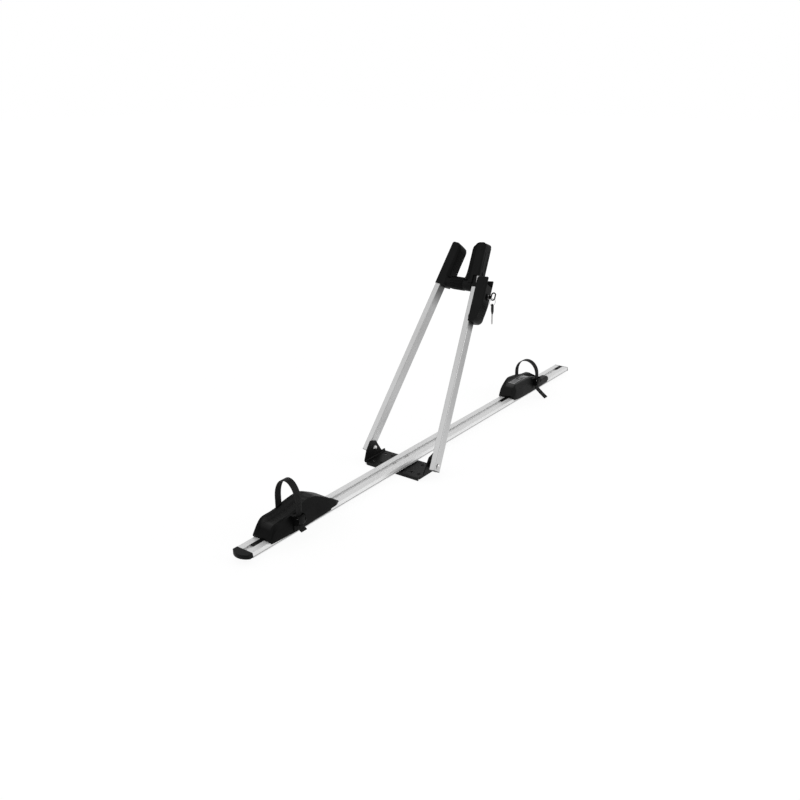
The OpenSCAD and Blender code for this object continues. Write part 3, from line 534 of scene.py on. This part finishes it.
def leverGripRibs():
    # ribs across the thin end of the lever's back
    lowY, lowZ = leverGrip["foot"]
    highY, highZ = leverGrip["shoulder"]
    slope = (highY - lowY) / (highZ - lowZ)
    tilt = Matrix.Rotation(math.atan(slope), 4, "X")
    shape = bmesh.new()
    for count in range(leverGrip["count"]):
        height = leverGrip["first"] + count * leverGrip["step"]
        out = lowY + (height - lowZ) * slope + leverGrip["size"][1] / 2 - leverGrip["sink"]
        stamp(shape, softBar(leverGrip["size"], leverGrip["edge"]),
              tubeMatrix("right") @ Matrix.Translation((0, -out, height)) @ tilt)
    newPiece("leverGripRibs", shape, "lever", "lever_black")


clawRib = {"size": (0.0018, 0.0012, 0.044), "edge": 0.0004, "rows": (-0.008, 0.008),
           "face": 0.0085, "middle": 0.504, "sink": 0.0005}


def clawRibs(name):
    # pair of stiffening ribs up the outer face of a claw
    shape = bmesh.new()
    out = sides[name] * (clawRib["face"] + clawRib["size"][1] / 2 - clawRib["sink"])
    for row in clawRib["rows"]:
        stamp(shape, softBar(clawRib["size"], clawRib["edge"]),
              tubeMatrix(name) @ Matrix.Translation((row, out, clawRib["middle"])))
    newPiece(name + "ClawRibs", shape, name + "_arm", "moulded_black")


jawBoot = {
    "face": 0.022, "rear": 0.013, "half": 0.0169, "edge": 0.003, "edgeSegments": 4,
    "root": 0.453, "flareReach": 0.009, "sink": 0.006, "rounding": 0.013, "steps": 12, "crowd": 1.6,
    "ridge": (0.022, 0.0012, 0.003), "ridgeEdge": 0.0004, "ridgeSink": 0.0005,
    "firstRidge": 0.474, "ridgeStep": 0.0068, "ridges": 8,
    "left": {"thick": 0.0018, "flare": 0.0060, "top": 0.536},
    "right": {"thick": 0.0042, "flare": 0.0062, "top": 0.544},
}


def jawProfile(jaw, proud):
    # side view of a boot: up its face in steps that crowd at the root, over the top, down the back
    root, steps = jawBoot["root"], jawBoot["steps"]
    shoulder = jaw["top"] - jawBoot["rounding"]
    profile = []
    for step in range(steps + 1):
        height = root + (shoulder - root) * (step / steps) ** jawBoot["crowd"]
        profile.append((proud(height), height))
    for step in range(1, steps + 1):
        turn = math.radians(90 * step / steps)
        profile.append((jaw["thick"] - (jaw["thick"] + jawBoot["sink"]) * (1 - math.cos(turn)),
                        shoulder + jawBoot["rounding"] * math.sin(turn)))
    back = jawBoot["rear"] - jawBoot["face"]
    return profile + [(back, jaw["top"]), (back, root)]


def jawBoots(name):
    # rubber boot over a jaw's inner half, flaring at its root to the grip knob, with ridges on it
    jaw, half = jawBoot[name], jawBoot["half"]

    def proud(height):
        flare = math.exp((jawBoot["root"] - height) / jawBoot["flareReach"])
        return jaw["thick"] + jaw["flare"] * flare

    boot = bmesh.new()
    side = boot.faces.new([boot.verts.new((-half, out, height))
                           for out, height in jawProfile(jaw, proud)])
    swept = bmesh.ops.extrude_face_region(boot, geom=[side])["geom"]
    moved = [item for item in swept if isinstance(item, bmesh.types.BMVert)]
    bmesh.ops.translate(boot, verts=moved, vec=(2 * half, 0, 0))
    rims = [edge for edge in boot.edges
            if abs(edge.verts[0].co.x - edge.verts[1].co.x) < jawBoot["edge"]]
    roundOff(boot, rims, jawBoot["edge"], jawBoot["edgeSegments"])
    for count in range(jawBoot["ridges"]):
        height = jawBoot["firstRidge"] + count * jawBoot["ridgeStep"]
        out = proud(height) + jawBoot["ridge"][1] / 2 - jawBoot["ridgeSink"]
        stamp(boot, softBar(jawBoot["ridge"], jawBoot["ridgeEdge"]),
              Matrix.Translation((0, out, height)))
    turned = Matrix.Diagonal((1, -sides[name], 1, 1))
    boot.transform(tubeMatrix(name) @ turned @ Matrix.Translation((0, jawBoot["face"], 0)))
    piece = newPiece(name + "JawBoot", boot, name + "_arm", "pad_rubber")
    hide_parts(name + "_claw_pad")


tipCap = {"low": 0.530, "front": 0.5475, "rear": 0.5550, "half": 0.0168, "outer": 0.0089,
          "inner": 0.0125, "corner": 0.0085, "rim": 0.0076, "segments": 6}


def clawTipCap():
    # rounded cap over the outer half of the right claw's tip, fuller towards the back
    def corner(front, inner, upper):
        top = tipCap["front"] if front else tipCap["rear"]
        return (-tipCap["half"] if front else tipCap["half"],
                tipCap["inner"] if inner else -tipCap["outer"],
                top if upper else tipCap["low"])

    cap = cornerBlock(corner)
    uprights = [edge for edge in cap.edges
                if (edge.verts[0].co - edge.verts[1].co).to_2d().length < tipCap["rim"]]
    roundOff(cap, uprights, tipCap["corner"], tipCap["segments"])
    crown = max(cap.faces, key=lambda face: face.calc_center_median().z)
    roundOff(cap, crown.edges[:], tipCap["rim"], tipCap["segments"])
    cap.transform(tubeMatrix("right"))
    newPiece("rightClawCap", cap, "right_arm", "moulded_black")


clawLip = {"low": 0.437, "high": 0.475, "inner": 0.0095, "outerLow": 0.0042, "outerHigh": -0.0002,
           "front": 0.0134, "back": 0.0125, "edge": 0.0002}


def clawSkirt():
    # thin lip of the right claw over the front of its tube, narrower at the top
    def corner(front, inner, upper):
        outer = clawLip["outerHigh"] if upper else clawLip["outerLow"]
        return (-clawLip["front"] if front else -clawLip["back"],
                clawLip["inner"] if inner else -outer,
                clawLip["high"] if upper else clawLip["low"])

    lip = cornerBlock(corner)
    roundOff(lip, lip.edges[:], clawLip["edge"])
    lip.transform(tubeMatrix("right"))
    newPiece("rightClawSkirt", lip, "right_arm", "moulded_black")


tread = {"first": 0.5225, "step": 0.00918, "count": 10, "length": 0.021, "short": 0.0032,
         "size": (0.0040, 0.0011), "edge": 0.0004, "sink": 0.0004, "pocket": (0.558, 0.577),
         "above": 0.2}
plug = {"place": (0.567, 0.0), "radius": 0.0063, "top": 0.0514, "thick": 0.004, "edge": 0.0005,
        "segments": 48, "rib": 0.0104}


def troughTreads():
    # ribs across the rear trough, pale and shiny; short ones beside the plug
    shape = bmesh.new()
    wide, tall = tread["size"]
    lift = tall / 2 - tread["sink"]
    for count in range(tread["count"]):
        along = tread["first"] + count * tread["step"]
        pocket = tread["pocket"][0] < along < tread["pocket"][1]
        length = tread["short"] if pocket else tread["length"]
        out = (tread["length"] - length) / 2
        for across in (-out, out) if pocket else (0,):
            spot = nodes["rear_cradle"].ray_cast((along, across, tread["above"]), (0, 0, -1))[1]
            stamp(shape, softBar((wide, length, tall), tread["edge"]),
                  Matrix.Translation((along, across, spot.z + lift)))
        if pocket:
            stamp(shape, softBar((wide, plug["rib"], tall), tread["edge"]),
                  Matrix.Translation((along, 0, plug["top"] + lift)))
    newPiece("rearTreads", shape, "rear_holder", "tread_worn")


def screwPlug():
    # push-in plug that closes the pocket over the foot's screw
    shape = bmesh.new()
    bmesh.ops.create_cone(shape, cap_ends=True, segments=plug["segments"], radius1=plug["radius"],
                          radius2=plug["radius"], depth=plug["thick"])
    rims = [edge for edge in shape.edges
            if abs(edge.verts[0].co.z - edge.verts[1].co.z) < plug["edge"]]
    roundOff(shape, rims, plug["edge"])
    bmesh.ops.translate(shape, verts=shape.verts,
                        vec=(*plug["place"], plug["top"] - plug["thick"] / 2))
    newPiece("rearScrewPlug", shape, "rear_holder", "rear_cradle")


for place in strapLines:
    strapTeeth(place)
troughTreads()
screwPlug()
leverGripRibs()
for name in sides:
    jawBoots(name)
clawTipCap()
clawSkirt()
for name in sides:
    clawRibs(name)
print("fittings added")


# Stage: pale floor that takes the shadow, white behind it
stage = {"floorSize": 14.0, "floorCells": 8, "floorDrop": 0.0002, "floorTone": 0.86,
         "floorRough": 0.9, "shadowShare": 0.12, "shadowReach": (0.9, 1.7), "white": 1.04,
         "mirrorLevel": (1.0, 0.6), "mirrorReach": (0.1, 1.3), "under": (0.036, 0.076),
         "underMiddle": 0.006, "underSoft": 0.002, "underShare": 0.95, "worldLevel": 0.8}


def floorPaper():
    finish = Finish("floorPaper")
    finish.set(color=tint(stage["floorTone"]), rough=stage["floorRough"], specular=0.0)
    away = finish.add("ShaderNodeVectorMath", {"operation": "LENGTH"}, {0: finish.place()}, 1)
    seen = finish.add("ShaderNodeLightPath", output="Is Camera Ray")
    mirrored = finish.add("ShaderNodeLightPath", output="Is Glossy Ray")
    # Plain white to the eye apart from the shadow near the object; metal sees it dim with distance
    shade = finish.fade(away, *stage["shadowReach"], stage["shadowShare"], 0.0)
    level = finish.fade(away, *stage["mirrorReach"], *stage["mirrorLevel"])
    # Under the bracket the paper is in full shadow, as its bolt holes show
    along, across = finish.axes()[:2]
    (half, reach), soft = stage["under"], stage["underSoft"]
    under = (finish.fall(finish.size(along), half, soft)
             * finish.fall(finish.size(across - stage["underMiddle"]), reach, soft))
    shade = shade + stage["underShare"] * under
    white = finish.add("ShaderNodeEmission", None,
                       {"Color": finish.mix(seen, level, tint(stage["white"])), "Strength": 1.0})
    blend = finish.add("ShaderNodeMixShader", None,
                       {0: seen * (1 - shade) + mirrored,
                        1: Signal(finish, finish.shader.outputs[0]), 2: white})
    finish.feed(finish.tree.nodes["Material Output"].inputs["Surface"], blend)
    return finish.material


def stageFloor():
    cells = stage["floorCells"]
    shape = bmesh.new()
    bmesh.ops.create_grid(shape, x_segments=cells, y_segments=cells, size=stage["floorSize"])
    bmesh.ops.translate(shape, verts=shape.verts, vec=(0, 0, cadBox[0][2] - stage["floorDrop"]))
    data = bpy.data.meshes.new("stageFloor")
    shape.to_mesh(data)
    shape.free()
    data.materials.append(floorPaper())
    floor = bpy.data.objects.new("stageFloor", data)
    bpy.context.scene.collection.objects.link(floor)


def stageWorld():
    # soft light from all round, and plain white behind everything
    world = bpy.data.worlds.new("studio")
    bpy.context.scene.world = world
    world.use_nodes = True
    tree = world.node_tree
    light, white = tree.nodes["Background"], tree.nodes.new("ShaderNodeBackground")
    for back, strength in ((light, stage["worldLevel"]), (white, 1.0)):
        back.inputs["Color"].default_value = tint(1)
        back.inputs["Strength"].default_value = strength
    path = tree.nodes.new("ShaderNodeLightPath")
    pick = tree.nodes.new("ShaderNodeMixShader")
    sources = (path.outputs["Is Camera Ray"], light.outputs[0], white.outputs[0])
    for source, socket in zip(sources, pick.inputs):
        tree.links.new(source, socket)
    tree.links.new(pick.outputs[0], tree.nodes["World Output"].inputs["Surface"])


lampAim = (0.1, 0, 0.15)
lamps = {
    "keyPanel": {"place": (-1.5, 1.3, 1.4), "size": (1.8, 1.4), "watts": 3.0},
    "fillPanel": {"place": (1.2, -2.0, 0.8), "size": (1.6, 1.0), "watts": 11.0},
}


def studioLamp(name, spec):
    light = bpy.data.lights.new(name, "AREA")
    light.shape = "RECTANGLE"
    light.size, light.size_y = spec["size"]
    light.energy = spec["watts"]
    lamp = bpy.data.objects.new(name, light)
    aim = (Vector(lampAim) - Vector(spec["place"])).to_track_quat("-Z", "Y")
    lamp.matrix_world = Matrix.Translation(spec["place"]) @ aim.to_matrix().to_4x4()
    bpy.context.scene.collection.objects.link(lamp)


stageFloor()
stageWorld()
for name, spec in lamps.items():
    studioLamp(name, spec)
print("stage and", len(lamps), "lamps")


# Camera at the photograph's place, in metres and degrees; the frame is square
shot = {"place": (-1.49326, -1.10796, 0.88428), "azimuth": -53.7065, "elevation": 21.1557,
        "roll": -0.3006, "lens": 38.83, "sensor": 36.0, "shift": (-0.0065, 0.0005),
        "clip": (0.05, 60.0)}


def photoCamera():
    azimuth, elevation = math.radians(shot["azimuth"]), math.radians(shot["elevation"])
    level = math.cos(elevation)
    back = Vector((math.sin(azimuth) * level, -math.cos(azimuth) * level, math.sin(elevation)))
    right = Vector((math.cos(azimuth), math.sin(azimuth), 0))
    up = back.cross(right)
    roll = Matrix.Rotation(math.radians(shot["roll"]), 3, "Z")
    axes = Matrix((right, up, back)).transposed() @ roll
    lens = bpy.data.cameras.new("photoCamera")
    lens.sensor_width = shot["sensor"]
    lens.lens = shot["lens"]
    lens.shift_x, lens.shift_y = shot["shift"]
    lens.clip_start, lens.clip_end = shot["clip"]
    camera = bpy.data.objects.new("photoCamera", lens)
    camera.matrix_world = Matrix.Translation(shot["place"]) @ axes.to_4x4()
    bpy.context.scene.collection.objects.link(camera)
    bpy.context.scene.camera = camera


photoCamera()
bpy.context.scene.view_settings.view_transform = "Standard"
print("camera set")
